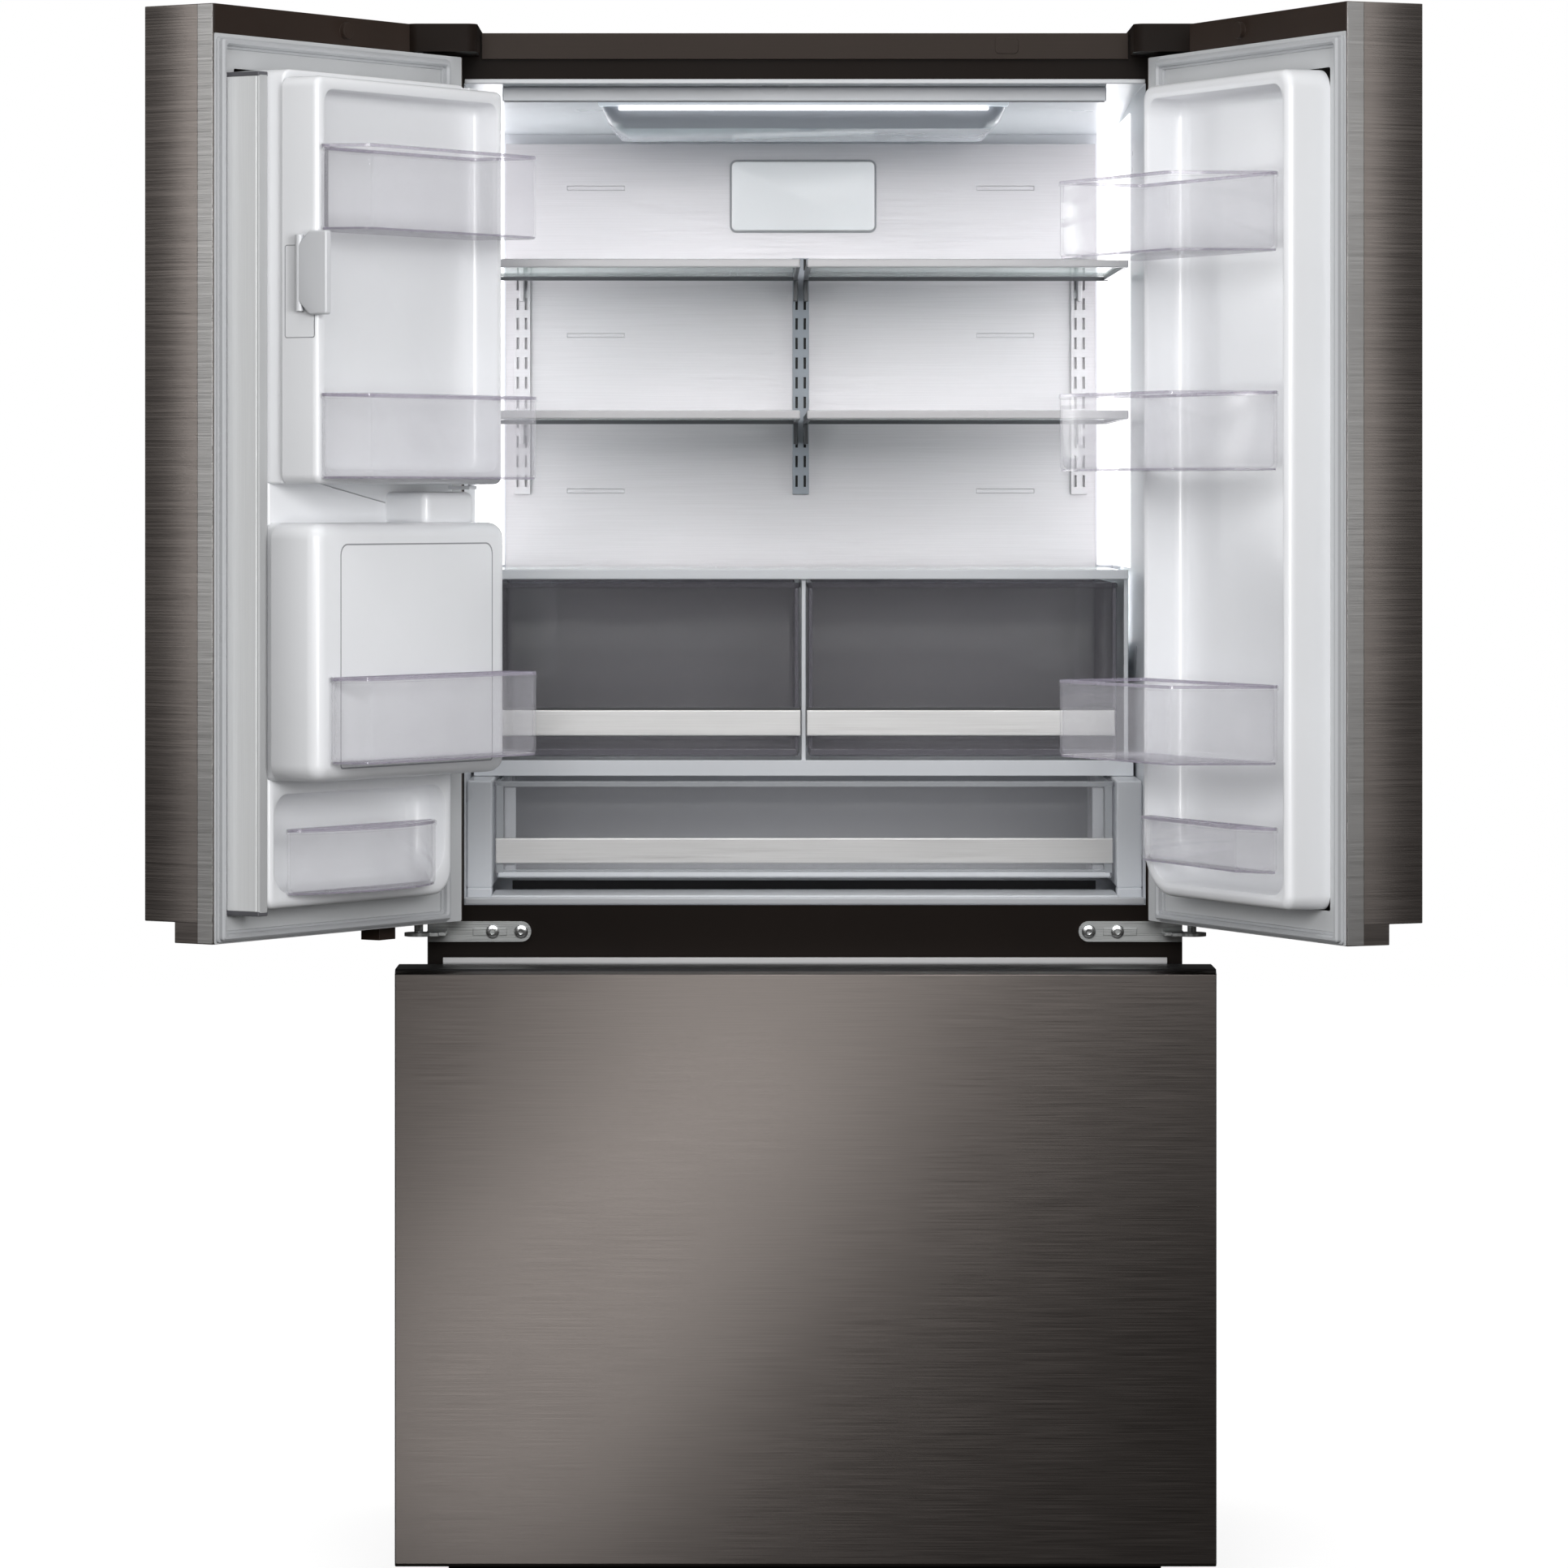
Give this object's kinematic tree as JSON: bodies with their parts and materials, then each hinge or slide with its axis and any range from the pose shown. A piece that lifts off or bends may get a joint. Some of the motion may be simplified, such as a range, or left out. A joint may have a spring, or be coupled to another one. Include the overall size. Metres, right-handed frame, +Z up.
{
  "type": "french door refrigerator",
  "caption": "French door refrigerator with a pull-out freezer drawer, a folding centre mullion, an in-door ice room, door bins, glass shelves and crisper drawers.",
  "frame": {"origin": "on the floor, at mid-width, in the plane of the case front", "axes": "+Z up, +Y from the front towards the back, +X to the right seen from the front"},
  "size_m": [1.3503, 1.2494, 1.767],
  "materials": {
    "case_paint": "matte dark brown",
    "galvanised_steel": "dull zinc",
    "machine_cover_plastic": "pressed fibre board, grey",
    "foam": "blown insulation foam",
    "liner_white": "smooth white",
    "dark_trim": "satin dark brown",
    "hinge_steel": "plated steel",
    "rear_metal": "fine brushed",
    "lamp_housing": "milky white",
    "lamp_lens": "lit diffuser",
    "ladder_steel": "grey epoxy",
    "shelf_glass": "tempered, clear",
    "fin_aluminium": "mill finish",
    "compressor_black": "black enamel",
    "condenser_steel": "brown lacquer",
    "brass": "turned",
    "fan_plastic": "moulded",
    "smoke_clear": "clear, smoke tint",
    "pantry_clear": "clear, pale",
    "bin_clear": "clear",
    "pull_metal": "fine brushed",
    "drawer_skin": "black stainless, brushed across",
    "door_skin_steel": "black stainless, brushed across",
    "gasket_rubber": "soft grey",
    "basket_plastic": "white",
    "dispenser_black": "black glass look",
    "ice_maker_plastic": "pale grey",
    "mullion_steel": "satin grey"
  },
  "bodies": {
    "cabinet": {"outer_case": "case_paint", "back_panel": "galvanised_steel", "machine_cover": "machine_cover_plastic", "machine_base": "galvanised_steel", "cabinet_foam": "foam", "front_frame": "case_paint", "fridge_liner": "liner_white", "freezer_liner": "liner_white", "top_trim": "dark_trim", "hinge_covers": "dark_trim", "upper_hinges": "hinge_steel", "lower_hinges": "hinge_steel", "hinge_screws": "hinge_steel", "rear_wall_panel": "rear_metal", "air_filter_cover": "liner_white", "ceiling_light": "lamp_housing", "light_lenses": "lamp_lens", "shelf_ladders": "ladder_steel", "shelf_frames": "ladder_steel", "shelf_panes": "shelf_glass", "crisper_cover": "shelf_glass", "crisper_frame": "rear_metal", "pantry_side_covers": "liner_white", "toe_grille": "case_paint", "leveling_feet": "galvanised_steel", "evaporator": "fin_aluminium", "compressor": "compressor_black", "condenser": "condenser_steel", "water_inlet": "brass", "fixed_rails": "galvanised_steel"},
    "rear_roller_pair": {"rear_rollers": "galvanised_steel"},
    "fan_wheel": {"condenser_fan": "fan_plastic"},
    "left_crisper": {"crisper_left": "smoke_clear", "crisper_left_trim": "pull_metal"},
    "right_crisper": {"crisper_right": "smoke_clear", "crisper_right_trim": "pull_metal"},
    "pantry": {"pantry_drawer": "pantry_clear", "pantry_trim": "pull_metal"},
    "freezer_drawer": {"freezer_front": "drawer_skin", "freezer_inner_panel": "liner_white", "freezer_gasket": "gasket_rubber", "freezer_basket": "basket_plastic", "moving_rails": "galvanised_steel"},
    "left_door": {"left_door_skin": "door_skin_steel", "left_door_caps": "dark_trim", "left_door_liner": "liner_white", "left_door_gasket": "gasket_rubber", "dispenser_housing": "dispenser_black", "ice_maker": "ice_maker_plastic", "left_door_bins": "bin_clear"},
    "paddle": {"dispenser_paddle": "fan_plastic"},
    "ice_room_lid": {"ice_room_door": "liner_white", "ice_door_bins": "bin_clear"},
    "ice_room_latch": {"ice_latch": "hinge_steel"},
    "mullion_bar": {"mullion": "mullion_steel"},
    "right_door": {"right_door_skin": "door_skin_steel", "right_door_caps": "dark_trim", "right_door_liner": "liner_white", "right_door_gasket": "gasket_rubber", "right_door_bins": "bin_clear"}
  },
  "joints": [
    {"name": "left_door_hinge", "type": "hinge", "parent": "cabinet", "child": "left_door", "pos_m": [-0.43, -0.053, 1.25], "axis": [0, 0, -1], "range_deg": [-123, 5]},
    {"name": "right_door_hinge", "type": "hinge", "parent": "cabinet", "child": "right_door", "pos_m": [0.43, -0.053, 1.25], "axis": [0, 0, 1], "range_deg": [-114, 14]},
    {"name": "mullion_fold", "type": "hinge", "parent": "left_door", "child": "mullion_bar", "pos_m": [-0.61425, -0.42513, 1.245], "axis": [0, 0, 1], "range_deg": [-90, 0]},
    {"name": "ice_room_lid_hinge", "type": "hinge", "parent": "left_door", "child": "ice_room_lid", "pos_m": [-0.36795, -0.16126, 1.47], "axis": [0, 0, 1], "range_deg": [0, 90]},
    {"name": "ice_room_latch_turn", "type": "hinge", "parent": "ice_room_lid", "child": "ice_room_latch", "pos_m": [-0.53355, -0.46032, 1.477], "axis": [0, 0, -1], "range_deg": [0, 35]},
    {"name": "dispenser_paddle_swing", "type": "hinge", "parent": "left_door", "child": "paddle", "pos_m": [-0.53918, -0.22296, 1.17], "axis": [-0.5446, -0.8387, 0], "range_deg": [0, 12], "stiffness_Nm_per_rad": 0.5},
    {"name": "left_crisper_slide", "type": "slide", "parent": "cabinet", "child": "left_crisper", "axis": [0, -1, 0], "range_m": [0, 0.3]},
    {"name": "right_crisper_slide", "type": "slide", "parent": "cabinet", "child": "right_crisper", "axis": [0, -1, 0], "range_m": [0, 0.3]},
    {"name": "pantry_slide", "type": "slide", "parent": "cabinet", "child": "pantry", "axis": [0, -1, 0], "range_m": [0, 0.3]},
    {"name": "freezer_drawer_slide", "type": "slide", "parent": "cabinet", "child": "freezer_drawer", "axis": [0, -1, 0], "range_m": [0, 0.4]},
    {"name": "rear_roller_spin", "type": "hinge", "parent": "cabinet", "child": "rear_roller_pair", "pos_m": [0, 0.65, 0.026], "axis": [1, 0, 0], "continuous": true},
    {"name": "condenser_fan_spin", "type": "hinge", "parent": "cabinet", "child": "fan_wheel", "pos_m": [0.22, 0.56, 0.18], "axis": [0, 1, 0], "continuous": true}
  ]
}
